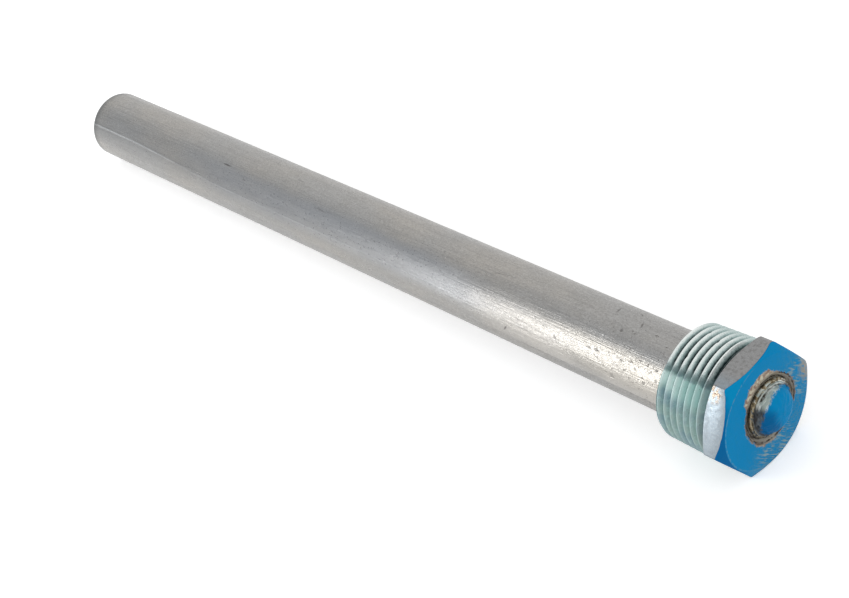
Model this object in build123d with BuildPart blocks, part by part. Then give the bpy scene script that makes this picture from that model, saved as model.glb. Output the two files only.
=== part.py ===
from build123d import *
import os
from math import atan, degrees

# Sacrificial anode on a hexagon pipe plug. Millimetres.
# The rod's axis is the X axis, and the head of the plug faces +X. The origin is on the axis, at
# the shoulder where the hexagon meets the thread. Two flats of the hexagon face +Z and -Z, and the
# part lies on the lower one.

# Pipe thread, 3/4-14 NPT
pitch = 25.4 / 14
taper = 1 / 16                       # on the diameter
pitch_d_small_end = 24.579
thread_height = 0.8 * pitch          # crest to root
crest_flat = 0.16                    # axial width of the flat at the crest
shank_length = 13.9                  # shoulder to small end
lead_in = 0.5                        # bevel at the small end
undercut_width = 0.7                 # between the thread and the hexagon
undercut_below_root = 0.05
cutter_above_crest = 0.08            # how far the thread cutter stands proud of the crest
cutter_run_in = 1.03                 # turns before the small end
shank_overlap = 0.5                  # how far the shank runs into the hexagon

# Hexagon
hex_across_flats = 27.0
hex_thickness = 5.6
bevel_circle_d = 26.4                # the round face that the bevel leaves
bevel_depth = 1.3                    # along the axis, at the corners
bevel_overshoot = 0.1                # how far the bevel cut runs past the corners, on the radius

# Rod
rod_d = 19.05
rod_far_end = 240.3                  # shoulder to the far end of the rod
rod_end_round = 0.5
rod_seat_depth = 2.5                 # how far the rod sits in the plug
rod_seat_clearance = 0.10            # on the radius

# Core
core_d = 6.35
core_hole_clearance = 0.15           # on the radius, in the plug
core_bore_clearance = 0.02           # on the radius, in the rod
core_end_recess = 0.5                # the core stops short of the rod's far end

# Formed head of the core, a little off the axis. Heights are above the hexagon's face.
head_offset_y = 1.25
head_offset_z = 0.1
trough_top_r = 7.8                   # the sunk ring around the head, at the face
trough_bottom_r = 7.1
trough_depth = 0.7
collar_foot_r = 6.7                  # the rounded collar at the foot of the dome
collar_shoulder_r = 6.25
collar_shoulder_height = 0.55
collar_top_r = 5.6
collar_top_height = 0.85
dome_foot_r = 5.15
dome_foot_height = 1.0
dome_mid_r = 3.8
dome_mid_height = 2.8
dome_height = 3.5

os.makedirs("parts", exist_ok=True)

half_taper = taper / 2
hex_corner_r = hex_across_flats / 3 ** 0.5
pitch_r = pitch_d_small_end / 2
crest_r = pitch_r + thread_height / 2
root_r = pitch_r - thread_height / 2
undercut_r = root_r + shank_length * half_taper - undercut_below_root
head_seat_x = hex_thickness - trough_depth
seat_x = -shank_length + rod_seat_depth

# The thread is cut from the tapered shank one turn at a time. The cutter has a V section. Its edges
# are tapered helices, and ruled faces join them.
crest_half = (pitch - crest_flat) / 2
mouth_half = crest_half * (1 + cutter_above_crest / thread_height)
cutter_corners = [
    (root_r, 0),
    (crest_r + cutter_above_crest, mouth_half),
    (crest_r + cutter_above_crest, -mouth_half),
]


def cutter_turn(start_x):
    edges = []
    for radius, shift in cutter_corners:
        edges.append(
            Helix(
                pitch=pitch,
                height=pitch,
                radius=radius + (start_x + shank_length) * half_taper,
                center=(start_x + shift, 0, 0),
                direction=(1, 0, 0),
                cone_angle=degrees(atan(half_taper)),
            )
        )
    faces = []
    for index, edge in enumerate(edges):
        faces.append(Face.make_surface_from_curves(edges[index - 1], edge))
    for end in (0, 1):
        faces.append(Face(Wire.make_polygon([edge @ end for edge in edges], close=True)))
    return Solid(Shell(faces))


with BuildPart() as threaded_plug:
    # Tapered shank, with a bevel at its small end and an undercut at the shoulder
    with BuildSketch(Plane.XY):
        with BuildLine():
            Polyline(
                (-shank_length, 0),
                (-shank_length, crest_r - lead_in),
                (-shank_length + lead_in, crest_r + lead_in * half_taper),
                (-1.5 * undercut_width, crest_r + (shank_length - 1.5 * undercut_width) * half_taper),
                (-undercut_width, undercut_r),
                (shank_overlap, undercut_r),
                (shank_overlap, 0),
                close=True,
            )
        make_face()
    revolve(axis=Axis.X)
    cut_start = -shank_length - cutter_run_in * pitch
    turns = int((shank_overlap - cut_start) / pitch) + 1
    for turn in range(turns):
        add(cutter_turn(cut_start + turn * pitch), mode=Mode.SUBTRACT)
    # Hexagon, bevelled front and back
    with BuildSketch(Plane.YZ):
        RegularPolygon(hex_across_flats / 2, 6, major_radius=False)
    extrude(amount=hex_thickness)
    bevel_circle_r = bevel_circle_d / 2
    outer_r = hex_corner_r + bevel_overshoot
    outer_depth = bevel_depth * (outer_r - bevel_circle_r) / (hex_corner_r - bevel_circle_r)
    with BuildSketch(Plane.XY):
        with BuildLine():
            Polyline(
                (-2 * shank_length, 0),
                (-2 * shank_length, outer_r),
                (0, outer_r),
                (0, bevel_circle_r),
                (outer_depth, outer_r),
                (hex_thickness - outer_depth, outer_r),
                (hex_thickness, bevel_circle_r),
                (hex_thickness, 0),
                close=True,
            )
        make_face()
    revolve(axis=Axis.X, mode=Mode.INTERSECT)
    # Hole for the core and seat for the rod
    with BuildSketch(Plane.YZ.offset(-shank_length)):
        Circle(core_d / 2 + core_hole_clearance)
    extrude(amount=shank_length + hex_thickness, mode=Mode.SUBTRACT)
    with BuildSketch(Plane.YZ.offset(-shank_length)):
        Circle(rod_d / 2 + rod_seat_clearance)
    extrude(amount=rod_seat_depth, mode=Mode.SUBTRACT)
    # Sunk ring in the front face, around the formed head
    with BuildSketch(Plane((0, 0, head_offset_z), (1, 0, 0), (0, 0, 1))):
        with BuildLine():
            Polyline(
                (head_seat_x, head_offset_y),
                (head_seat_x, head_offset_y + trough_bottom_r),
                (hex_thickness, head_offset_y + trough_top_r),
                (hex_thickness, head_offset_y),
                close=True,
            )
        make_face()
    revolve(axis=Axis((0, head_offset_y, head_offset_z), (1, 0, 0)), mode=Mode.SUBTRACT)
threaded_plug.part.label = "threaded_plug"
export_step(threaded_plug.part, "parts/threaded_plug.step")

with BuildPart() as anode_rod:
    with BuildSketch(Plane.YZ.offset(-rod_far_end)):
        Circle(rod_d / 2)
        Circle(core_d / 2 + core_bore_clearance, mode=Mode.SUBTRACT)
    extrude(amount=rod_far_end + seat_x)
    far_edges = anode_rod.edges().filter_by(GeomType.CIRCLE).group_by(Axis.X)[0]
    fillet(far_edges.sort_by(SortBy.RADIUS)[-1], rod_end_round)
anode_rod.part.label = "anode_rod"
export_step(anode_rod.part, "parts/anode_rod.step")

with BuildPart() as core_rod:
    with BuildSketch(Plane.YZ.offset(-rod_far_end + core_end_recess)):
        Circle(core_d / 2)
    extrude(amount=rod_far_end - core_end_recess + head_seat_x)
    # Formed head: a rounded collar with a dome on it
    with BuildSketch(Plane((0, 0, head_offset_z), (1, 0, 0), (0, 0, 1))):
        with BuildLine():
            foot = (head_seat_x, head_offset_y + collar_foot_r)
            shoulder = (hex_thickness + collar_shoulder_height, head_offset_y + collar_shoulder_r)
            collar_top = (hex_thickness + collar_top_height, head_offset_y + collar_top_r)
            dome_foot = (hex_thickness + dome_foot_height, head_offset_y + dome_foot_r)
            dome_mid = (hex_thickness + dome_mid_height, head_offset_y + dome_mid_r)
            dome_top = (hex_thickness + dome_height, head_offset_y)
            Polyline((head_seat_x, head_offset_y), foot)
            Spline(foot, shoulder, collar_top, tangents=[(1, 0.1), (0.15, -1)])
            Line(collar_top, dome_foot)
            Spline(dome_foot, dome_mid, dome_top, tangents=[(1, -0.1), (0, -1)])
            Line(dome_top, (head_seat_x, head_offset_y))
        make_face()
    revolve(axis=Axis((0, head_offset_y, head_offset_z), (1, 0, 0)))
core_rod.part.label = "core_rod"
export_step(core_rod.part, "parts/core_rod.step")

for piece in (threaded_plug, anode_rod, core_rod):
    box = piece.part.bounding_box()
    print(piece.part.label, piece.part.is_valid, len(piece.part.solids()), round(piece.part.volume, 1), box)
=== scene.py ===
import math

import bpy
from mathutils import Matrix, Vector


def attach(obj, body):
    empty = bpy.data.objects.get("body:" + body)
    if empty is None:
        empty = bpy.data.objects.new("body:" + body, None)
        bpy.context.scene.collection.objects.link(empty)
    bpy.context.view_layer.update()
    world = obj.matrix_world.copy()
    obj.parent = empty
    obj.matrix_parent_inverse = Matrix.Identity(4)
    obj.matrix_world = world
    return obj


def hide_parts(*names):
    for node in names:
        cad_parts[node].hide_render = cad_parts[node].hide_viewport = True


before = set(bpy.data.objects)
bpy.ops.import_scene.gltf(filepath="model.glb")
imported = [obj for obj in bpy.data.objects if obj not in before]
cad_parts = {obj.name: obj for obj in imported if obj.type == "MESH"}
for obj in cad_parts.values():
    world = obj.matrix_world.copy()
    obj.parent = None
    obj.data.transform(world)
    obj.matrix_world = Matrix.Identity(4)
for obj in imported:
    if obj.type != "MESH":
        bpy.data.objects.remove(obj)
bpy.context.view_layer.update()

# Camera. It looks along the photograph's line of sight: from above the head's side, with the rod
# running away to the upper left, and rolled so that the rod falls from left to right.
camera_data = bpy.data.cameras.new("photo_camera")
camera_data.sensor_width = 36.0
camera_data.lens = 72.96
camera_data.clip_start = 0.01
camera = bpy.data.objects.new("photo_camera", camera_data)
camera.location = (0.19346, -0.16521, 0.26144)
camera.rotation_euler = (math.radians(48.512), math.radians(18.334), math.radians(45.824))
bpy.context.scene.collection.objects.link(camera)
bpy.context.scene.camera = camera

# Threaded plug. One turned steel piece: a hexagon with a bevel at each side, and a tapered pipe
# thread behind it, cut right up to a narrow undercut. The bore takes the core, and the seat at the
# small end takes the rod. It is zinc plated, and its front was painted after the core was fixed.
MM = 0.001
PITCH = 25.4 / 14
TAPER_PER_SIDE = 1 / 32
CREST_R = 13.0152
ROOT_R = 11.5638
SHANK = 13.9
LEAD_IN = 0.5
UNDERCUT = 0.7
HEX_FLATS = 27.0
HEX_THICK = 5.6
BEVEL_CIRCLE_R = 13.2
BEVEL_DEPTH = 1.3
BORE_R = 3.325
SEAT_R = 9.625
SEAT_DEPTH = 2.5
HEAD_Y = 1.25
HEAD_Z = 0.1
TROUGH_R = 7.1
TROUGH_DEPTH = 0.7
ROUND_STEPS = 192


def select_only(thing):
    bpy.ops.object.select_all(action="DESELECT")
    thing.select_set(True)
    bpy.context.view_layer.objects.active = thing


def pick(thing, wanted):
    """In object mode, selects the points that are wanted, and the edges and faces between them."""
    mesh = thing.data
    chosen = [wanted(vertex) for vertex in mesh.vertices]
    mesh.vertices.foreach_set("select", chosen)
    mesh.edges.foreach_set("select", [all(chosen[i] for i in edge.vertices) for edge in mesh.edges])
    mesh.polygons.foreach_set("select", [all(chosen[i] for i in face.vertices) for face in mesh.polygons])


def draw_line(name, points):
    """Draws a line through (along the axis, out from the axis) points, in millimetres."""
    bpy.ops.object.select_all(action="DESELECT")
    bpy.ops.mesh.primitive_plane_add(size=MM)
    line = bpy.context.active_object
    line.name = line.data.name = name
    bpy.ops.object.mode_set(mode="EDIT")
    bpy.ops.mesh.select_mode(type="VERT")
    bpy.ops.mesh.select_all(action="SELECT")
    bpy.ops.mesh.merge(type="CENTER")
    bpy.ops.transform.translate(value=(points[0][0] * MM, 0, points[0][1] * MM))
    for here, there in zip(points, points[1:]):
        step = ((there[0] - here[0]) * MM, 0, (there[1] - here[1]) * MM)
        bpy.ops.mesh.extrude_region_move(TRANSFORM_OT_translate={"value": step})
    bpy.ops.object.mode_set(mode="OBJECT")
    return line


def apply_modifiers(thing):
    select_only(thing)
    for modifier in list(thing.modifiers):
        bpy.ops.object.modifier_apply(modifier=modifier.name)


def close_up(thing):
    """Merges doubled points and turns every face outwards."""
    select_only(thing)
    bpy.ops.object.mode_set(mode="EDIT")
    bpy.ops.mesh.select_mode(type="VERT")
    bpy.ops.mesh.select_all(action="SELECT")
    bpy.ops.mesh.remove_doubles(threshold=0.0005 * MM)
    bpy.ops.mesh.normals_make_consistent(inside=False)
    bpy.ops.object.mode_set(mode="OBJECT")


def turn_on_lathe(line, steps, rise=0.0, turns=1):
    lathe = line.modifiers.new("lathe", "SCREW")
    lathe.axis = "X"
    lathe.steps = lathe.render_steps = steps
    lathe.screw_offset = rise * MM
    lathe.iterations = turns
    lathe.use_merge_vertices = True
    lathe.merge_threshold = 0.0005 * MM
    apply_modifiers(line)
    close_up(line)
    return line


def shift_to_head(thing):
    select_only(thing)
    bpy.ops.transform.translate(value=(0, HEAD_Y * MM, HEAD_Z * MM))
    bpy.ops.object.transform_apply(location=True, rotation=True, scale=True)


def combine(thing, tool, how):
    cut = thing.modifiers.new("cut", "BOOLEAN")
    cut.operation = how
    cut.object = tool
    cut.solver = "EXACT"
    apply_modifiers(thing)
    bpy.data.objects.remove(tool)


def knock(thing, nicks, least_r, depth):
    """Presses small nicks, as (along, angle, length, width), into what lies further out than least_r."""
    group = thing.vertex_groups.new(name="nicks")
    for vertex in thing.data.vertices:
        along, across, above = vertex.co / MM
        out = math.hypot(across, above)
        turned = math.degrees(math.atan2(above, across)) % 360
        deepest = 0.0
        for nick_x, nick_angle, length, width in nicks:
            sideways = math.radians(turned - nick_angle) * out
            if abs(along - nick_x) < length and abs(sideways) < width:
                deepest = max(deepest, 1 - math.hypot((along - nick_x) / length, sideways / width))
        if out > least_r and deepest > 0:
            group.add([vertex.index], deepest, "REPLACE")
    press = thing.modifiers.new("press", "DISPLACE")
    press.vertex_group = "nicks"
    press.strength = -depth * MM
    press.mid_level = 0.0
    apply_modifiers(thing)


# One pitch of the thread, from root to root, with a rounded crest and a rounded root. Its sizes are
# those at the shoulder, and the taper modifier narrows it towards the small end.
shoulder_crest = CREST_R + SHANK * TAPER_PER_SIDE
shoulder_root = ROOT_R + SHANK * TAPER_PER_SIDE
half = PITCH / 2
ridge = [
    (-half, shoulder_root + 0.03),
    (-half + 0.05, shoulder_root + 0.06),
    (-half + 0.11, shoulder_root + 0.13),
    (-0.55, shoulder_root + 0.60),
    (-0.33, shoulder_root + 1.00),
    (-0.17, shoulder_crest - 0.14),
    (-0.11, shoulder_crest - 0.04),
    (-0.05, shoulder_crest),
    (0.05, shoulder_crest),
    (0.11, shoulder_crest - 0.04),
    (0.17, shoulder_crest - 0.14),
    (0.33, shoulder_root + 1.00),
    (0.55, shoulder_root + 0.60),
    (half - 0.11, shoulder_root + 0.13),
    (half - 0.05, shoulder_root + 0.06),
    (half, shoulder_root + 0.03),
]
TURNS = 11
thread_start = -SHANK - 1.53 * PITCH
thread_end = thread_start + TURNS * PITCH
plug = draw_line("threaded_plug_steel", [(x + thread_start, r) for x, r in ridge])
turn_on_lathe(plug, ROUND_STEPS, PITCH, TURNS)
for rim_x in (thread_start, thread_end):
    select_only(plug)
    bpy.ops.object.mode_set(mode="EDIT")
    bpy.ops.mesh.select_mode(type="VERT")
    bpy.ops.mesh.select_all(action="DESELECT")
    bpy.ops.mesh.select_non_manifold()
    bpy.ops.object.mode_set(mode="OBJECT")
    pick(plug, lambda vertex: vertex.select and abs(vertex.co.x / MM - rim_x) < 1.1 * PITCH)
    bpy.ops.object.mode_set(mode="EDIT")
    bpy.ops.mesh.extrude_region_move()
    bpy.ops.mesh.merge(type="CENTER")
    bpy.ops.object.mode_set(mode="OBJECT")
close_up(plug)
along = [vertex.co.x for vertex in plug.data.vertices]
narrow = plug.modifiers.new("taper", "SIMPLE_DEFORM")
narrow.deform_method = "TAPER"
narrow.deform_axis = "X"
narrow.factor = TAPER_PER_SIDE / (shoulder_crest * MM) * (max(along) - min(along))
apply_modifiers(plug)

outside = CREST_R + 2.0
shank_blank = draw_line("shank_blank", [
    (-SHANK, SEAT_R), (-SHANK, CREST_R - LEAD_IN), (-SHANK + LEAD_IN + 0.6, CREST_R + 0.6),
    (-2.2 * UNDERCUT, outside), (-1.5 * UNDERCUT, shoulder_crest - 1.5 * UNDERCUT * TAPER_PER_SIDE),
    (-UNDERCUT, shoulder_root), (0.5, shoulder_root), (0.5, BORE_R), (-SHANK + SEAT_DEPTH, BORE_R),
    (-SHANK + SEAT_DEPTH, SEAT_R), (-SHANK, SEAT_R),
])
turn_on_lathe(shank_blank, ROUND_STEPS)
combine(plug, shank_blank, "INTERSECT")

# The hexagon. Its corners are rounded a little, the one at +Y and the one above it more, by wear.
corner_r = HEX_FLATS / math.sqrt(3)
over = 0.1
over_depth = BEVEL_DEPTH * (corner_r + over - BEVEL_CIRCLE_R) / (corner_r - BEVEL_CIRCLE_R)
bpy.ops.object.select_all(action="DESELECT")
bpy.ops.mesh.primitive_cylinder_add(
    vertices=6, radius=corner_r * MM, depth=2 * HEX_THICK * MM,
    location=(HEX_THICK / 2 * MM, 0, 0), rotation=(0, math.radians(90), 0))
hexagon = bpy.context.active_object
bpy.ops.object.transform_apply(location=True, rotation=True, scale=True)
for rounding, wanted in (
        (1.5, lambda vertex: vertex.co.y / MM > corner_r - 0.1),
        (0.9, lambda vertex: 0 < vertex.co.y / MM < corner_r - 1.5 and vertex.co.z > 0),
        (0.3, lambda vertex: vertex.co.y < 0 or (vertex.co.y / MM < corner_r - 1.5 and vertex.co.z < 0))):
    pick(hexagon, wanted)
    hexagon.data.edges.foreach_set("select", [
        edge.select and abs(hexagon.data.vertices[edge.vertices[0]].co.x
                            - hexagon.data.vertices[edge.vertices[1]].co.x) > HEX_THICK * MM
        for edge in hexagon.data.edges])
    hexagon.data.polygons.foreach_set("select", [False] * len(hexagon.data.polygons))
    bpy.ops.object.mode_set(mode="EDIT")
    bpy.ops.mesh.select_mode(type="EDGE")
    bpy.ops.mesh.bevel(offset=rounding * MM, offset_type="OFFSET", segments=4, profile=0.5)
    bpy.ops.object.mode_set(mode="OBJECT")
barrel = draw_line("barrel", [
    (0, BORE_R), (0, BEVEL_CIRCLE_R), (over_depth, corner_r + over),
    (HEX_THICK - over_depth, corner_r + over), (HEX_THICK, BEVEL_CIRCLE_R), (HEX_THICK, BORE_R),
    (0, BORE_R),
])
turn_on_lathe(barrel, ROUND_STEPS)
combine(hexagon, barrel, "INTERSECT")
above_face = 1.0
trough = draw_line("trough", [
    (HEX_THICK - TROUGH_DEPTH, 0), (HEX_THICK - TROUGH_DEPTH, TROUGH_R),
    (HEX_THICK + above_face, TROUGH_R + TROUGH_DEPTH + above_face), (HEX_THICK + above_face, 0),
])
turn_on_lathe(trough, 128)
shift_to_head(trough)
combine(hexagon, trough, "DIFFERENCE")
soften = hexagon.modifiers.new("soften", "BEVEL")
soften.limit_method = "ANGLE"
soften.angle_limit = math.radians(20)
soften.width = 0.14 * MM
soften.segments = 3
apply_modifiers(hexagon)
combine(plug, hexagon, "UNION")
close_up(plug)
knock(plug, [(-9.7, 105, 0.6, 0.6), (-9.8, 70, 0.5, 0.5), (-2.4, 135, 0.5, 0.7), (-6.1, 78, 0.5, 0.5)],
      ROOT_R + 0.9, 0.3)
select_only(plug)
bpy.ops.object.shade_smooth_by_angle(angle=math.radians(32))
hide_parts("threaded_plug")
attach(plug, "root")


def add_node(tree, kind, **settings):
    made = tree.nodes.new(kind)
    for name, value in settings.items():
        setattr(made, name, value)
    return made


def put(tree, socket, value):
    """Gives a socket a plain value, or links it to the socket that the value comes from."""
    if isinstance(value, bpy.types.NodeSocket):
        tree.links.new(value, socket)
    else:
        socket.default_value = value


def calc(tree, operation, *values):
    made = add_node(tree, "ShaderNodeMath", operation=operation)
    for socket, value in zip(made.inputs, values):
        put(tree, socket, value)
    return made.outputs[0]


def fade(tree, value, low, high):
    """Goes smoothly from 0 at low to 1 at high. Where low is the larger, it falls instead."""
    made = add_node(tree, "ShaderNodeMapRange", interpolation_type="SMOOTHSTEP")
    put(tree, made.inputs["Value"], value)
    put(tree, made.inputs["From Min"], low)
    put(tree, made.inputs["From Max"], high)
    return made.outputs["Result"]


def tint(tree, share, first, second):
    """Mixes two colours. The node keeps its colour sockets at 6 and 7, and its result at 2."""
    made = add_node(tree, "ShaderNodeMix", data_type="RGBA")
    put(tree, made.inputs[0], share)
    put(tree, made.inputs[6], first)
    put(tree, made.inputs[7], second)
    return made.outputs[2]


def stain(tree, mask, strength, first, second):
    """Mixes in the second colour where the mask is 1, and only up to this strength."""
    return tint(tree, calc(tree, "MULTIPLY", mask, strength), first, second)


def level(tree, share, first, second):
    """Mixes two plain values."""
    made = add_node(tree, "ShaderNodeMix", data_type="FLOAT")
    put(tree, made.inputs[0], share)
    put(tree, made.inputs[2], first)
    put(tree, made.inputs[3], second)
    return made.outputs[0]


def shade(red, green, blue):
    """A colour as a screen shows it, from 0 to 255, as the shader's own light values."""
    return tuple((c / 255) ** 2.2 for c in (red, green, blue)) + (1.0,)


def millimetres(tree):
    place = add_node(tree, "ShaderNodeTexCoord").outputs["Object"]
    made = add_node(tree, "ShaderNodeVectorMath", operation="SCALE")
    put(tree, made.inputs[0], place)
    put(tree, made.inputs["Scale"], 1 / MM)
    return made.outputs[0]


def split(tree, place):
    made = add_node(tree, "ShaderNodeSeparateXYZ")
    put(tree, made.inputs[0], place)
    return made.outputs


def distance_out(tree, across, above):
    squares = calc(tree, "ADD", calc(tree, "POWER", across, 2.0), calc(tree, "POWER", above, 2.0))
    return calc(tree, "SQRT", squares)


def facing(tree, around, angle):
    """From -1 to 1: how much a place, as (across, above, distance), lies at an angle from +Y to +Z."""
    across, above, out = around
    turned = math.radians(angle)
    dot = calc(tree, "ADD", calc(tree, "MULTIPLY", across, math.cos(turned)),
               calc(tree, "MULTIPLY", above, math.sin(turned)))
    return calc(tree, "DIVIDE", dot, calc(tree, "MAXIMUM", out, 0.01))


def centred(tree, noise):
    return calc(tree, "SUBTRACT", noise, 0.5)


def grain(tree, place, size, stretch=1.0, detail=2.0, from_x=0.0):
    """Noise with spots of this size in millimetres, drawn out along X by stretch."""
    moved = add_node(tree, "ShaderNodeMapping")
    put(tree, moved.inputs["Vector"], place)
    moved.inputs["Location"].default_value = (from_x, 0, 0)
    moved.inputs["Scale"].default_value = (1 / stretch, 1, 1)
    made = add_node(tree, "ShaderNodeTexNoise")
    put(tree, made.inputs["Vector"], moved.outputs[0])
    made.inputs["Scale"].default_value = 1 / size
    made.inputs["Detail"].default_value = detail
    return made.outputs[0]


def raise_by(tree, height, depth, under=None):
    """A bump of that depth in millimetres, over another bump if one is given."""
    made = add_node(tree, "ShaderNodeBump")
    made.inputs["Distance"].default_value = depth * MM
    put(tree, made.inputs["Height"], height)
    if under:
        put(tree, made.inputs["Normal"], under)
    return made.outputs[0]


def new_group(name, outputs):
    group = bpy.data.node_groups.new(name, "ShaderNodeTree")
    for title in outputs:
        group.interface.new_socket(name=title, in_out="OUTPUT", socket_type="NodeSocketFloat")
    return group


def use_group(tree, group):
    made = add_node(tree, "ShaderNodeGroup", node_tree=group)
    return made.outputs


def new_material(name):
    material = bpy.data.materials.new(name)
    material.use_nodes = True
    tree = material.node_tree
    return material, tree, tree.nodes["Principled BSDF"].inputs


# Marks around the formed head, which the plug and the core share: the blue paint's ragged edge, the ring of
# burnt metal that it leaves bare, dark lines painted along its grooves and creases as their shade, and the
# scraped flank of the dome. The paint runs on over the ring at the lower right. The masks for its upper and
# lower side carry painted light and painted shade.
head_marks = new_group("head_marks", [
    "Paint", "Flare", "Paint Edge", "Burn", "Grooves", "Streaks", "Lit Top Side", "Shaded Low Side", "From Centre"])
# How far from the head's centre the paint stops, and angles round it from +Y towards +Z
RING_EDGE_R = 8.15
DOME_EDGE_R = 5.55
FLARE_ANGLE = 104
LOW_FLARE_ANGLE = 238
BRIDGE_ANGLE = 307
SCRAPED_ANGLE = 122
tree = head_marks
place = millimetres(tree)
across, above = split(tree, place)[1:]
out_y = calc(tree, "SUBTRACT", across, HEAD_Y)
out_z = calc(tree, "SUBTRACT", above, HEAD_Z)
from_centre = distance_out(tree, out_y, out_z)
around_head = (out_y, out_z, from_centre)
ragged = centred(tree, grain(tree, place, 1.5, detail=4.0))
ragged_fine = centred(tree, grain(tree, place, 0.4, detail=3.0, from_x=40.0))
wander = calc(tree, "ADD", calc(tree, "MULTIPLY", ragged, 1.9), calc(tree, "MULTIPLY", ragged_fine, 1.6))
flare = fade(tree, facing(tree, around_head, FLARE_ANGLE), 0.72, 0.95)
low_flare = fade(tree, facing(tree, around_head, LOW_FLARE_ANGLE), 0.85, 0.98)
ring_edge = calc(tree, "ADD", calc(tree, "ADD", RING_EDGE_R, calc(tree, "MULTIPLY", flare, 1.95)),
                 calc(tree, "MULTIPLY", low_flare, 0.45))
past_edge = calc(tree, "ADD", calc(tree, "SUBTRACT", from_centre, ring_edge), wander)
on_face = fade(tree, past_edge, -0.12, 0.12)
at_bridge = calc(tree, "ADD", facing(tree, around_head, BRIDGE_ANGLE), calc(tree, "MULTIPLY", wander, 0.03))
bridged = fade(tree, at_bridge, 0.905, 0.945)
scraped_side = calc(tree, "MULTIPLY", facing(tree, around_head, SCRAPED_ANGLE), 0.9)
dome_edge = calc(tree, "SUBTRACT", DOME_EDGE_R, scraped_side)
dome_edge = calc(tree, "ADD", dome_edge, calc(tree, "MULTIPLY", wander, 0.45))
on_dome = fade(tree, calc(tree, "SUBTRACT", dome_edge, from_centre), -0.15, 0.3)
painted = calc(tree, "MAXIMUM", calc(tree, "MAXIMUM", on_face, on_dome), bridged)
jittered = calc(tree, "ADD", from_centre, calc(tree, "MULTIPLY", wander, 0.18))
# Dark lines painted along the head's grooves and creases, as their shade, broken up along their length
grooves = 0.0
for groove_r, groove_half in ((7.85, 0.26), (6.95, 0.24), (6.35, 0.14), (5.4, 0.2)):
    off = calc(tree, "ABSOLUTE", calc(tree, "SUBTRACT", jittered, groove_r))
    grooves = calc(tree, "MAXIMUM", grooves, fade(tree, off, groove_half, groove_half * 0.3))
broken = level(tree, fade(tree, ragged, -0.12, 0.08), 0.35, 1.0)
bare = calc(tree, "SUBTRACT", 1.0, painted)
grooves = calc(tree, "MULTIPLY", calc(tree, "MULTIPLY", grooves, broken), bare)
round_place = add_node(tree, "ShaderNodeCombineXYZ")
put(tree, round_place.inputs[0], calc(tree, "MULTIPLY", from_centre, 2.6))
put(tree, round_place.inputs[1], calc(tree, "MULTIPLY", facing(tree, around_head, 100), 1.6))
put(tree, round_place.inputs[2], calc(tree, "MULTIPLY", facing(tree, around_head, 10), 1.6))
result = add_node(tree, "NodeGroupOutput")
for title, value in (
        ("Paint", painted),
        ("Flare", calc(tree, "MULTIPLY", fade(tree, jittered, RING_EDGE_R, 8.6), bare)),
        ("Paint Edge", calc(tree, "MULTIPLY", fade(tree, past_edge, -0.75, -0.15), bare)),
        ("Burn", calc(tree, "MULTIPLY", fade(tree, jittered, 6.4, 7.0), bare)),
        ("Grooves", grooves),
        ("Streaks", grain(tree, round_place.outputs[0], 1.0, detail=3.0)),
        # The upper side is where light is painted on, and the lower side where shade is painted on
        ("Lit Top Side", fade(tree, facing(tree, around_head, 84), 0.48, 0.80)),
        ("Shaded Low Side", fade(tree, facing(tree, around_head, 190), 0.2, 0.9)),
        ("From Centre", from_centre)):
    put(tree, result.inputs[title], value)

# Zinc plate on the plug's steel: pale blue-green on the thread, with painted shade in its roots and on its
# top and far side, crests that are rubbed and painted with a highlight, and painted reflections along its
# lower side, and greyer on the hexagon's flats. The paint covers the front face and its bevel, where it
# carries painted light and shade, and it is scuffed on the right and at the foot, and worn through at the
# right-hand corner.
ZINC_CREST = shade(240, 246, 244)
ZINC_FLANK = shade(190, 208, 207)
ZINC_FLANK_DULL = shade(168, 188, 186)
ZINC_LOW = shade(162, 186, 181)
ZINC_LOW_COOL = shade(144, 171, 177)
ZINC_PALE_AND_SHEEN = shade(174, 206, 202)
DARK_REFLECTION_TEAL = shade(62, 92, 96)
ZINC_BACK_SHADE = shade(142, 170, 168)
ZINC_ROOT_SHADE = shade(44, 60, 62)
FLAT_GREY = shade(146, 146, 146)
FLAT_COOL = shade(143, 153, 160)
FLAT_DARK = shade(112, 110, 108)
FLAT_PALE = shade(186, 190, 190)
SPECK = shade(84, 74, 66)
RUST = shade(112, 102, 94)
BLUE = shade(0, 131, 187)
BLUE_THIN = shade(12, 129, 175)
BLUE_PAINTED_LIT = shade(0, 137, 190)
BLUE_PAINTED_SHADE = shade(4, 100, 156)
BLUE_EDGE = shade(6, 74, 118)
SCUFF = shade(164, 176, 160)
DUSTY_BLUE = shade(92, 134, 152)
WORN_CORNER = shade(156, 150, 138)
BEIGE = shade(204, 198, 176)
RUSTY = shade(146, 122, 110)
BROWN = shade(106, 98, 88)
TAN = shade(160, 156, 146)
GROOVE_SHADE = shade(52, 46, 40)
CHIP = shade(206, 186, 164)
RING_HIGHLIGHT = shade(182, 176, 156)

plated, tree, surface = new_material("zinc_plate_and_blue_paint")
place = millimetres(tree)
along, across, above = split(tree, place)
out = distance_out(tree, across, above)
around_axis = (across, above, out)
marks = use_group(tree, head_marks)
cloudy = grain(tree, place, 5.0, detail=3.0)
mottled = grain(tree, place, 0.8, detail=4.0)
fine = grain(tree, place, 0.25, detail=2.0)
on_hexagon = fade(tree, along, -0.4, 0.0)


def near(tree, x, y, z, reach):
    """1 at a spot, given in millimetres, and 0 beyond its reach."""
    made = add_node(tree, "ShaderNodeVectorMath", operation="DISTANCE")
    put(tree, made.inputs[0], place)
    made.inputs[1].default_value = (x, y, z)
    return fade(tree, made.outputs["Value"], reach, reach * 0.35)


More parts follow.
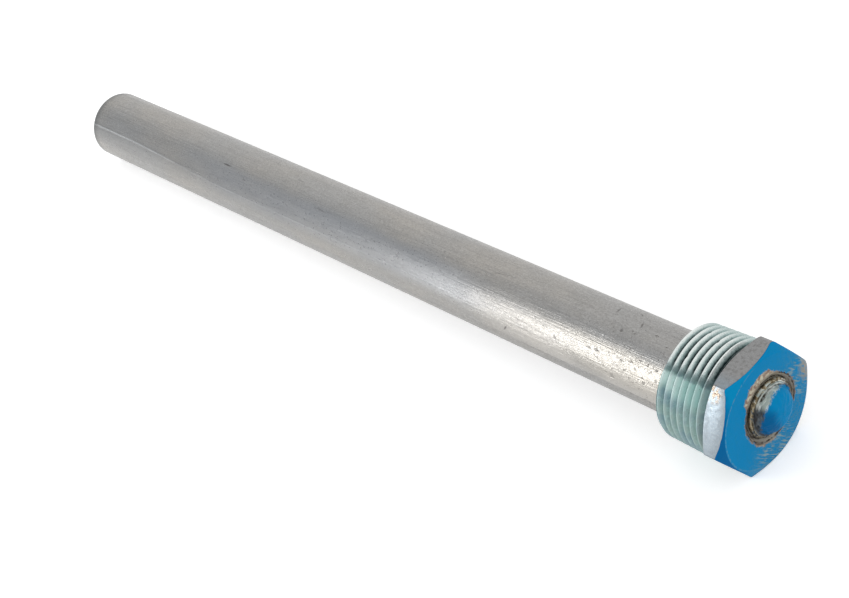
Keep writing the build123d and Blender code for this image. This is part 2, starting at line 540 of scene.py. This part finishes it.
local_root = calc(tree, "ADD", shoulder_root, calc(tree, "MULTIPLY", along, TAPER_PER_SIDE))
height = calc(tree, "DIVIDE", calc(tree, "SUBTRACT", out, local_root), CREST_R - ROOT_R)
uneven = centred(tree, mottled)
uneven_height = calc(tree, "ADD", height, calc(tree, "MULTIPLY", uneven, 0.35))
flank = tint(tree, fade(tree, cloudy, 0.35, 0.65), ZINC_FLANK, ZINC_FLANK_DULL)
towards_foot = calc(tree, "ADD", facing(tree, around_axis, 190), calc(tree, "MULTIPLY", uneven, 0.10))
low_side = fade(tree, towards_foot, 0.32, 0.44)
hazy = fade(tree, towards_foot, 0.20, 0.40)
# A dark teal band painted where the thread reflects the room's darker part, a painted reflection
painted_dark_reflection = calc(tree, "MULTIPLY", fade(tree, towards_foot, 0.25, 0.36), fade(tree, towards_foot, 0.46, 0.38))
band_foot = level(tree, fade(tree, along, -13.0, -8.0), 0.68, 0.82)
# A pale band painted along the lower thread where it reflects the softbox, a painted reflection, brightest
# away from the hexagon
painted_sheen_band = calc(tree, "MULTIPLY", fade(tree, towards_foot, 0.40, 0.46), fade(
    tree, towards_foot, band_foot, calc(tree, "SUBTRACT", band_foot, 0.16)))
painted_sheen_band = calc(tree, "MULTIPLY", painted_sheen_band, level(tree, fade(tree, along, -0.5, -4.0), 0.45, 1.0))
low_flank = tint(tree, fade(tree, cloudy, 0.4, 0.6), ZINC_LOW, ZINC_LOW_COOL)
low_flank = stain(tree, fade(tree, mottled, 0.50, 0.66), 0.5, low_flank, ZINC_PALE_AND_SHEEN)
low_flank = tint(tree, painted_sheen_band, low_flank, ZINC_PALE_AND_SHEEN)
brightest_sheen = calc(tree, "MULTIPLY", painted_sheen_band, fade(tree, along, -5.5, -11.0))
low_flank = stain(tree, brightest_sheen, 0.4, low_flank, ZINC_CREST)
flank = tint(tree, low_side, flank, low_flank)
# Crests are lighter, partly rubbed and partly a painted highlight, and less so on the lower side
rubbed_and_painted_sheen = calc(tree, "MULTIPLY", fade(tree, uneven_height, 0.50, 0.85), level(tree, hazy, 1.0, 0.12))
thread_colour = tint(tree, rubbed_and_painted_sheen, flank, ZINC_CREST)
# The thread's roots are painted dark, as shade, more on the upper side and not on the small end's face
painted_root_shade = level(tree, hazy, fade(tree, uneven_height, 0.66, 0.12), calc(
    tree, "MULTIPLY", fade(tree, uneven_height, 0.34, 0.0), 0.28))
painted_root_shade = calc(tree, "MULTIPLY", painted_root_shade, fade(tree, along, -SHANK + 0.02, -SHANK + 0.15))
thread_colour = tint(tree, painted_root_shade, thread_colour, ZINC_ROOT_SHADE)
thread_colour = stain(tree, painted_dark_reflection, 0.46, thread_colour, DARK_REFLECTION_TEAL)
# Painted shade on the thread's top and far side, over the bright reflections it would show at grazing angles
painted_back_shade = fade(tree, facing(tree, around_axis, 20), 0.55, 0.95)
thread_colour = stain(tree, painted_back_shade, 0.6, thread_colour, ZINC_BACK_SHADE)
cool_side = fade(tree, across, -3.0, -7.5)
flat_colour = tint(tree, cool_side, FLAT_GREY, FLAT_COOL)
mottling = calc(tree, "MULTIPLY", fade(tree, mottled, 0.46, 0.68), level(tree, cool_side, 0.45, 0.15))
flat_colour = tint(tree, mottling, flat_colour, FLAT_DARK)
flat_colour = stain(tree, fade(tree, fine, 0.52, 0.68), 0.3, flat_colour, FLAT_PALE)
zinc = tint(tree, on_hexagon, thread_colour, flat_colour)
specks = calc(tree, "MULTIPLY", fade(tree, fine, 0.66, 0.74), fade(tree, mottled, 0.45, 0.6))
zinc = tint(tree, specks, zinc, SPECK)
chip = calc(tree, "MULTIPLY", near(tree, 1.7, -8.6, 11.9, 2.7), fade(tree, mottled, 0.42, 0.54))
zinc = tint(tree, chip, zinc, tint(tree, fade(tree, fine, 0.44, 0.56), CHIP, RUST))

cone_r = calc(tree, "ADD", BEVEL_CIRCLE_R, calc(tree, "MULTIPLY", calc(tree, "SUBTRACT", HEX_THICK, along),
              (corner_r - BEVEL_CIRCLE_R) / BEVEL_DEPTH))
edge_noise = centred(tree, grain(tree, place, 1.6, detail=4.0, from_x=11.0))
past_cone = calc(tree, "ADD", calc(tree, "SUBTRACT", out, cone_r), calc(tree, "MULTIPLY", edge_noise, 0.6))
over_bevel = fade(tree, past_cone, -0.36, -0.28)
on_front = calc(tree, "MAXIMUM", over_bevel, fade(tree, along, HEX_THICK - 0.12, HEX_THICK - 0.04))
in_trough = calc(tree, "MULTIPLY", fade(tree, marks["From Centre"], 8.1, 7.95), fade(tree, along, 4.7, 4.85))
front = calc(tree, "MAXIMUM", on_front, in_trough)
right_side = near(tree, HEX_THICK, 11.6, 0.5, 7.0)
foot_side = near(tree, HEX_THICK, 0.0, -10.0, 8.0)
slanted = add_node(tree, "ShaderNodeMapping", vector_type="TEXTURE")
put(tree, slanted.inputs["Vector"], place)
slanted.inputs["Rotation"].default_value = (math.radians(-44), 0, 0)
slanted.inputs["Scale"].default_value = (1.0, 6.5, 1.0)
scuff_noise = grain(tree, slanted.outputs[0], 0.42, detail=2.0, from_x=23.0)
scuff_side = calc(tree, "MAXIMUM", right_side, foot_side)
scuffed = calc(tree, "MULTIPLY", fade(tree, scuff_noise, 0.50, 0.64), scuff_side)
towards_scuffs = fade(tree, calc(tree, "SUBTRACT", across, above), -5.0, 9.0)
dusty = calc(tree, "MULTIPLY", fade(tree, mottled, 0.34, 0.60), fade(tree, fine, 0.30, 0.60))
dusty = calc(tree, "MULTIPLY", dusty, towards_scuffs)
worn = calc(tree, "MULTIPLY", near(tree, HEX_THICK - 0.5, 14.9, 0.6, 4.6), fade(tree, mottled, 0.38, 0.50))
thin = calc(tree, "MULTIPLY", fade(tree, out, 12.75, 12.98), fade(tree, out, 13.3, 13.15))
thin = calc(tree, "MULTIPLY", thin, fade(tree, mottled, 0.35, 0.6))
thin = calc(tree, "MULTIPLY", thin, fade(tree, across, 2.0, -4.0))
paint = calc(tree, "MULTIPLY", front, marks["Paint"])
on_cone = fade(tree, out, 13.15, 13.35)
at_edge = calc(tree, "MULTIPLY", fade(tree, past_cone, -0.10, -0.30), fade(tree, out, 13.1, 13.3))
blue = stain(tree, fade(tree, mottled, 0.45, 0.8), 0.8, BLUE, BLUE_THIN)
# On the bevel the blue is painted lighter towards -Y, as light against the shade from the darker room
# overhead, and darker again at its outermost -Y part, as painted shade
blue = stain(tree, on_cone, fade(tree, across, 3.0, -1.0), blue, BLUE_PAINTED_LIT)
blue = stain(tree, on_cone, fade(tree, across, -7.5, -12.0), blue, BLUE_PAINTED_SHADE)
blue = tint(tree, at_edge, blue, BLUE_EDGE)
blue = stain(tree, thin, 0.18, blue, SCUFF)
blue = stain(tree, dusty, 0.5, blue, DUSTY_BLUE)
blue = stain(tree, scuffed, 0.62, blue, SCUFF)
blue = tint(tree, worn, blue, WORN_CORNER)
ring = tint(tree, fade(tree, marks["Streaks"], 0.38, 0.58), BROWN, TAN)
flare_colour = tint(tree, fade(tree, mottled, 0.40, 0.60), BEIGE, RUSTY)
# The ring's upper side is painted paler, as a painted highlight
ring = stain(tree, marks["Lit Top Side"], 0.5, ring, RING_HIGHLIGHT)
ring = tint(tree, marks["Flare"], ring, flare_colour)
ring = stain(tree, marks["Paint Edge"], 0.45, ring, RUSTY)
# Painted shade in the head's grooves and creases
ring = tint(tree, marks["Grooves"], ring, GROOVE_SHADE)
bare = calc(tree, "MULTIPLY", front, calc(tree, "SUBTRACT", 1.0, marks["Paint"]))
colour = tint(tree, bare, zinc, ring)
colour = tint(tree, paint, colour, blue)
put(tree, surface["Base Color"], colour)
thread_metal = level(tree, low_side, level(tree, fade(tree, height, 0.6, 0.95), 0.35, 0.85), 0.25)
zinc_metal = level(tree, on_hexagon, thread_metal, 1.0)
bare_metal = level(tree, bare, zinc_metal, 0.25)
put(tree, surface["Metallic"], level(tree, paint, bare_metal, 0.0))
patchy = fade(tree, mottled, 0.3, 0.7)
thread_rough = level(tree, low_side, level(tree, patchy, 0.24, 0.36), 0.55)
rough = level(tree, on_hexagon, thread_rough, level(tree, patchy, 0.34, 0.46))
rough = level(tree, bare, rough, 0.55)
put(tree, surface["Roughness"], level(tree, paint, rough, 0.42))
surface["Specular IOR Level"].default_value = 0.05
normal = raise_by(tree, mottled, 0.03)
normal = raise_by(tree, fine, 0.012, normal)
normal = raise_by(tree, calc(tree, "MULTIPLY", marks["Streaks"], bare), 0.25, normal)
paint_film = calc(tree, "MULTIPLY", paint, calc(tree, "SUBTRACT", 1.0, scuffed))
put(tree, surface["Normal"], raise_by(tree, paint_film, 0.06, normal))
plug.data.materials.append(plated)

# Core rod. A steel wire right through the anode, which carries the current and holds the rod to the
# plug. Its end is formed into a dome with a rough collar at its foot, a little off the axis. The
# dome was painted with the plug and then scraped bare on one side.
CORE_R = 3.175
CORE_FAR_END = 239.8
dome_line = [
    (-TROUGH_DEPTH, 0), (-TROUGH_DEPTH, 6.72), (-0.3, 6.8), (0.1, 6.78), (0.4, 6.56), (0.55, 6.24),
    (0.54, 5.95), (0.38, 5.7), (0.46, 5.48), (0.85, 5.28), (1.45, 5.06), (2.0, 4.74), (2.5, 4.3),
    (2.9, 3.7), (3.18, 2.88), (3.33, 1.95), (3.4, 1.0), (3.42, 0),
]
dome = draw_line("core_rod_steel", [(HEX_THICK + height, r) for height, r in dome_line])
turn_on_lathe(dome, 96)
shift_to_head(dome)
rounder = dome.modifiers.new("rounder", "SUBSURF")
rounder.levels = rounder.render_levels = 1
lumps = bpy.data.textures.new("weld_lumps", "CLOUDS")
lumps.noise_scale = 0.0011
lumpy = dome.modifiers.new("lumpy", "DISPLACE")
lumpy.texture = lumps
lumpy.texture_coords = "GLOBAL"
lumpy.strength = 0.35 * MM
lumpy.mid_level = 0.6
apply_modifiers(dome)
core = draw_line("core_wire", [
    (-CORE_FAR_END, 0), (-CORE_FAR_END, CORE_R - 0.3), (-CORE_FAR_END + 0.2, CORE_R - 0.08),
    (-CORE_FAR_END + 0.5, CORE_R), (HEX_THICK - 0.4, CORE_R), (HEX_THICK - 0.4, 0),
])
turn_on_lathe(core, 64)
combine(dome, core, "UNION")
core = dome
close_up(core)
select_only(core)
bpy.ops.object.shade_smooth_by_angle(angle=math.radians(40))
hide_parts("core_rod")
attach(core, "root")

SCRAPED_BRIGHT = shade(232, 236, 230)
SCRAPED_GREY = shade(150, 162, 158)
STEEL_SHADED = shade(92, 98, 102)
STEEL_SHADED_DARK = shade(58, 60, 63)
BRONZE = shade(196, 182, 150)
BRONZE_DARK = shade(118, 106, 84)
BLUE_DOME_SHADE = shade(8, 78, 130)

bare_steel, tree, surface = new_material("core_steel_and_blue_paint")
place = millimetres(tree)
along = split(tree, place)[0]
marks = use_group(tree, head_marks)
mottled = grain(tree, place, 0.9, detail=4.0)
fine = grain(tree, place, 0.3, detail=3.0)
# Bare steel is painted bright and scraped-looking on the head's upper side, as a painted highlight, and dark
# on the rest, as painted shade
lit_scraped_steel = tint(tree, fade(tree, marks["Streaks"], 0.40, 0.60), SCRAPED_BRIGHT, SCRAPED_GREY)
shaded_steel = tint(tree, fade(tree, marks["Streaks"], 0.42, 0.62), STEEL_SHADED, STEEL_SHADED_DARK)
bronze = tint(tree, fade(tree, mottled, 0.4, 0.6), BRONZE, BRONZE_DARK)
steel = tint(tree, marks["Lit Top Side"], shaded_steel, lit_scraped_steel)
on_collar = fade(tree, marks["From Centre"], 5.9, 6.3)
steel = stain(tree, on_collar, fade(tree, mottled, 0.40, 0.52), steel, bronze)
steel = stain(tree, marks["Burn"], 0.45, steel, BROWN)
steel = tint(tree, marks["Grooves"], steel, GROOVE_SHADE)
on_head = fade(tree, along, 4.3, 4.7)
paint = calc(tree, "MULTIPLY", marks["Paint"], on_head)
blue = stain(tree, fade(tree, mottled, 0.45, 0.8), 0.8, BLUE, BLUE_THIN)
# The dome's blue is painted darker towards its lower side, as painted shade
painted_dome_shade = calc(tree, "MULTIPLY", marks["Shaded Low Side"], fade(tree, marks["From Centre"], 0.6, 3.4))
blue = stain(tree, painted_dome_shade, 0.75, blue, BLUE_DOME_SHADE)
put(tree, surface["Base Color"], tint(tree, paint, steel, blue))
put(tree, surface["Metallic"], level(tree, paint, level(tree, marks["Grooves"], 0.9, 0.3), 0.0))
put(tree, surface["Roughness"], level(tree, paint, level(tree, fine, 0.22, 0.42), 0.42))
surface["Specular IOR Level"].default_value = 0.05
normal = raise_by(tree, mottled, 0.08)
normal = raise_by(tree, fine, 0.03, normal)
bare_streaks = calc(tree, "MULTIPLY", marks["Streaks"], calc(tree, "SUBTRACT", 1.0, paint))
normal = raise_by(tree, bare_streaks, 0.35, normal)
put(tree, surface["Normal"], raise_by(tree, paint, 0.05, normal))
core.data.materials.append(bare_steel)

# Anode rod. One extruded bar of light metal round the core, left as it came from the die: fine lines along
# it, dull mottled patches, pits and small dents, and a faint seam near the far end. Its colour also carries
# painted light and shade: a painted floor reflection and a warm painted highlight near the plug, a bluish
# tint and painted shade along the reflections in its middle, a painted highlight on the seam with painted
# light below it, and painted shade at the far rim.
ROD_R = 9.525
ROD_FAR_END = 240.3
ROD_END_ROUND = 0.5
ROD_NEAR_END = -SHANK + SEAT_DEPTH
ROD_BORE_R = 3.195
rod = draw_line("anode_rod_metal", [(-ROD_FAR_END + ROD_END_ROUND, ROD_R), (ROD_NEAR_END, ROD_R)])
select_only(rod)
bpy.ops.object.mode_set(mode="EDIT")
bpy.ops.mesh.select_all(action="SELECT")
bpy.ops.mesh.subdivide(number_cuts=99)
bpy.ops.mesh.subdivide(number_cuts=3)
bpy.ops.object.mode_set(mode="OBJECT")
corner = draw_line("rod_end", [
    (ROD_NEAR_END, ROD_R), (ROD_NEAR_END, ROD_BORE_R), (-ROD_FAR_END + 0.2, ROD_BORE_R),
    (-ROD_FAR_END, ROD_BORE_R + 0.2)] + [
    (-ROD_FAR_END + ROD_END_ROUND * (1 - math.sin(turn)), ROD_R - ROD_END_ROUND * (1 - math.cos(turn)))
    for turn in (math.radians(angle) for angle in (90, 72, 54, 36, 18, 0))])
select_only(rod)
corner.select_set(True)
bpy.ops.object.join()
turn_on_lathe(rod, 160)
select_only(rod)
bpy.ops.object.shade_smooth_by_angle(angle=math.radians(32))
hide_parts("anode_rod")
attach(rod, "root")

# The rod's dents, as (along, angle, length, width, slant, darkness)
DENTS = [
    (-174.4, 112.5, 2.4, 0.35, 0, 0.7), (-165.3, 123.7, 0.9, 0.3, 20, 0.4),
    (-132.7, 118, 3.2, 0.3, 4, 0.35), (-214.4, 70, 1, 0.3, -30, 0.4), (-146, 86, 1.8, 0.25, 0, 0.35),
    (-111.8, 181, 1.2, 0.35, 55, 0.4), (-87.5, 100, 0.6, 0.4, 0, 0.3), (-68, 96, 4, 0.25, -12, 0.25),
    (-62.3, 168, 1.3, 0.35, -50, 0.6), (-57, 146, 4, 0.25, 2, 0.3), (-46.4, 147, 0.9, 0.35, 50, 0.55),
    (-36.3, 139.5, 0.8, 0.35, 0, 0.6), (-34, 138.8, 1, 0.3, 0, 0.7), (-35, 72.5, 1.4, 0.3, 80, 0.6),
    (-30.1, 102, 0.6, 0.5, 0, 0.6), (-29.8, 62.5, 1, 0.4, 30, 0.5), (-26.8, 82.5, 1.2, 0.35, 70, 0.6),
    (-26.8, 137.5, 0.5, 0.35, 0, 0.5), (-24.4, 135, 0.5, 0.3, 0, 0.5), (-28.9, 165, 1, 0.6, 30, 0.35),
    (-19.8, 155, 0.5, 0.6, 0, 0.5), (-19.4, 181, 0.8, 0.6, 20, 0.4), (-27.7, 147, 0.4, 0.3, 0, 0.4),
    (-21.9, 127.5, 0.6, 0.3, 0, 0.5), (-22.6, 141, 0.4, 0.4, 0, 0.4), (-17, 131, 0.5, 0.4, 0, 0.5),
    (-16.5, 145, 0.4, 0.6, 0, 0.5),
]
anode, tree, surface = new_material("dull_anode_metal")
place = millimetres(tree)
along, across, above = split(tree, place)
clouds = grain(tree, place, 14.0, stretch=2.0, detail=3.0)
patches = grain(tree, place, 3.0, stretch=2.5, detail=3.0, from_x=7.0)
lines = grain(tree, place, 0.22, stretch=60.0, detail=2.0)
dust = grain(tree, place, 0.3, stretch=1.5, detail=2.0, from_x=29.0)
lines_wide = grain(tree, place, 1.3, stretch=25.0, detail=2.0, from_x=3.0)
speckle = grain(tree, place, 0.55, stretch=1.6, detail=3.0, from_x=17.0)
pits = grain(tree, place, 0.55, stretch=1.3, detail=2.0)
near_head = fade(tree, along, -48.0, -19.0)
turned = calc(tree, "MULTIPLY", calc(tree, "ARCTAN2", above, across), 180 / math.pi)
unrolled = add_node(tree, "ShaderNodeCombineXYZ")
put(tree, unrolled.inputs[0], along)
put(tree, unrolled.inputs[1], calc(tree, "MULTIPLY", turned, math.radians(ROD_R)))
dented = 0.0
for dent_x, dent_angle, length, width, slant, darkness in DENTS:
    at_dent = add_node(tree, "ShaderNodeMapping", vector_type="TEXTURE")
    put(tree, at_dent.inputs["Vector"], unrolled.outputs[0])
    at_dent.inputs["Location"].default_value = (dent_x, math.radians(dent_angle) * ROD_R, 0)
    at_dent.inputs["Rotation"].default_value = (0, 0, math.radians(slant))
    at_dent.inputs["Scale"].default_value = (length, width, 1)
    from_dent = add_node(tree, "ShaderNodeVectorMath", operation="LENGTH")
    put(tree, from_dent.inputs[0], at_dent.outputs[0])
    dent = calc(tree, "MULTIPLY", fade(tree, from_dent.outputs["Value"], 1.0, 0.3), darkness)
    dented = calc(tree, "MAXIMUM", dented, dent)
seam_angle = add_node(tree, "ShaderNodeMapRange", interpolation_type="SMOOTHSTEP")
put(tree, seam_angle.inputs["Value"], along)
for socket, value in zip(("From Min", "From Max", "To Min", "To Max"), (-225.0, -165.0, 141.5, 151.5)):
    put(tree, seam_angle.inputs[socket], value)
past_seam = calc(tree, "SUBTRACT", turned, seam_angle.outputs["Result"])
seam_in_middle = level(tree, fade(tree, along, -60.0, -110.0), 0.0, 0.3)
seam_strength = level(tree, fade(tree, along, -190.0, -215.0), seam_in_middle, 1.0)
# The seam is a small real ridge, also painted bright as a highlight; below it the rod is painted lighter, as
# if a facet there caught more light
seam_ridge_and_highlight = calc(tree, "MULTIPLY", fade(tree, calc(tree, "ABSOLUTE", past_seam), 1.8, 0.5), seam_strength)
painted_light_under_seam = calc(tree, "MULTIPLY", fade(tree, past_seam, -0.6, 0.9), fade(tree, past_seam, 26.0, 4.0))
painted_light_under_seam = calc(tree, "MULTIPLY", painted_light_under_seam, seam_strength)
# Near the plug the rod's lower side is painted lighter, as a painted reflection of the floor
rubbed_and_painted_sheen = calc(tree, "MULTIPLY", fade(tree, along, -85.0, -40.0), calc(
    tree, "MULTIPLY", fade(tree, turned, 148.0, 166.0), fade(tree, clouds, 0.2, 0.5)))
# A bluish tint painted in the band of reflections along the rod's middle, and a warm tint painted into the
# highlight near the plug
painted_cool_reflection = calc(tree, "MULTIPLY", fade(tree, turned, 104.0, 122.0), fade(tree, turned, 170.0, 152.0))
painted_cool_reflection = calc(tree, "MULTIPLY", painted_cool_reflection, calc(
    tree, "MULTIPLY", fade(tree, along, -198.0, -168.0), fade(tree, along, -60.0, -84.0)))
painted_warm_highlight = calc(tree, "MULTIPLY", fade(tree, turned, 116.0, 132.0), fade(tree, turned, 186.0, 160.0))
painted_warm_highlight = calc(tree, "MULTIPLY", painted_warm_highlight, fade(tree, along, -62.0, -30.0))
# Painted shade over the softbox's highlight where it runs on along the rod, so that it fades sooner
painted_highlight_shade = calc(tree, "MULTIPLY", fade(tree, along, -62.0, -115.0), calc(
    tree, "MULTIPLY", fade(tree, turned, 130.0, 148.0), fade(tree, turned, 178.0, 160.0)))
pitted = calc(tree, "MULTIPLY", fade(tree, pits, 0.65, 0.71), near_head)
# The last few millimetres at the far end are painted darker, as painted shade on the rounded rim
far_rim_shade = fade(tree, along, -ROD_FAR_END + 3.2, -ROD_FAR_END + 0.5)
metal = tint(tree, fade(tree, clouds, 0.35, 0.65), shade(165, 164, 162), shade(171, 167, 161))
for mask, strength, mark_colour in (
        (fade(tree, patches, 0.42, 0.72), 0.40, shade(156, 154, 150)),
        (fade(tree, lines_wide, 0.45, 0.75), 0.30, shade(148, 146, 144)),
        (fade(tree, lines, 0.48, 0.66), 0.42, shade(138, 136, 134)),
        (fade(tree, speckle, 0.50, 0.72), 0.32, shade(132, 130, 128)),
        (fade(tree, dust, 0.48, 0.66), 0.34, shade(128, 126, 124)),
        (fade(tree, dust, 0.46, 0.32), 0.35, shade(190, 190, 188)),
        (painted_light_under_seam, 0.35, shade(196, 196, 194)),
        (seam_ridge_and_highlight, 0.70, shade(220, 222, 222)),
        (rubbed_and_painted_sheen, 0.60, shade(204, 200, 194)),
        (painted_cool_reflection, 0.32, shade(146, 152, 161)),
        (painted_warm_highlight, 0.30, shade(174, 165, 148)),
        (painted_highlight_shade, 0.42, shade(124, 124, 124)),
        (dented, 1.00, shade(78, 74, 72)),
        (pitted, 0.60, shade(86, 78, 74)),
        (far_rim_shade, 0.60, shade(104, 106, 106))):
    metal = stain(tree, mask, strength, metal, mark_colour)
put(tree, surface["Base Color"], metal)
surface["Metallic"].default_value = 0.72
put(tree, surface["Roughness"], level(tree, fade(tree, speckle, 0.3, 0.7), 0.27, 0.36))
normal = raise_by(tree, patches, 0.05)
normal = raise_by(tree, speckle, 0.02, normal)
normal = raise_by(tree, dust, 0.012, normal)
normal = raise_by(tree, lines, 0.075, normal)
normal = raise_by(tree, seam_ridge_and_highlight, 0.12, normal)
sunk = calc(tree, "MAXIMUM", pitted, dented)
put(tree, surface["Normal"], raise_by(tree, calc(tree, "SUBTRACT", 1.0, sunk), 0.08, normal))
rod.data.materials.append(anode)

# Floor: plain and white. The part lies on the back edge of its lower flat and on the rod's far end,
# so the floor is tilted by just under a degree against the part's own axes.
lean = math.atan2(HEX_FLATS / 2 - ROD_R, ROD_FAR_END - ROD_END_ROUND)
bpy.ops.object.select_all(action="DESELECT")
bpy.ops.mesh.primitive_plane_add(size=3.0, location=(0, 0, -HEX_FLATS / 2 * MM), rotation=(0, lean, 0))
floor = bpy.context.active_object
floor.name = "floor"
floor_paint, tree, surface = new_material("white_floor")
surface["Base Color"].default_value = (0.86, 0.86, 0.86, 1.0)
surface["Roughness"].default_value = 0.9
seen = add_node(tree, "ShaderNodeLightPath")
surface["Emission Color"].default_value = (1.0, 1.0, 1.0, 1.0)
glow_to_camera = calc(tree, "MULTIPLY", seen.outputs["Is Camera Ray"], 0.40)
glow_in_metal = calc(tree, "MULTIPLY", seen.outputs["Is Glossy Ray"], 0.18)
put(tree, surface["Emission Strength"], calc(tree, "ADD", glow_to_camera, glow_in_metal))
floor.data.materials.append(floor_paint)

# Light. A soft room that is darker overhead, behind the part, and one tall softbox to the left of
# the head. The room is plain white to the camera.
room = bpy.data.worlds.new("soft_room")
bpy.context.scene.world = room
room.use_nodes = True
tree = room.node_tree
background = tree.nodes["Background"]
direction = add_node(tree, "ShaderNodeTexCoord").outputs["Generated"]
overhead = add_node(tree, "ShaderNodeVectorMath", operation="DOT_PRODUCT")
put(tree, overhead.inputs[0], direction)
overhead.inputs[1].default_value = Vector((-0.70, -0.50, 0.45)).normalized()
darkness = fade(tree, overhead.outputs["Value"], 0.62, 0.98)
room_light = tint(tree, darkness, (0.92, 0.92, 0.92, 1.0), (0.46, 0.49, 0.53, 1.0))
seen = add_node(tree, "ShaderNodeLightPath")
put(tree, background.inputs["Color"], tint(tree, seen.outputs["Is Camera Ray"], room_light, (1, 1, 1, 1)))

softbox_data = bpy.data.lights.new("softbox", "AREA")
softbox_data.shape = "RECTANGLE"
softbox_data.size = 0.10
softbox_data.size_y = 0.40
softbox_data.energy = 0.82
softbox = bpy.data.objects.new("softbox", softbox_data)
softbox.location = (-0.276, -0.329, 0.135)
softbox.rotation_euler = (Vector((-0.03, 0, 0)) - softbox.location).to_track_quat("-Z", "Y").to_euler()
bpy.context.scene.collection.objects.link(softbox)
softbox.visible_camera = False

bpy.context.scene.view_settings.view_transform = "Standard"
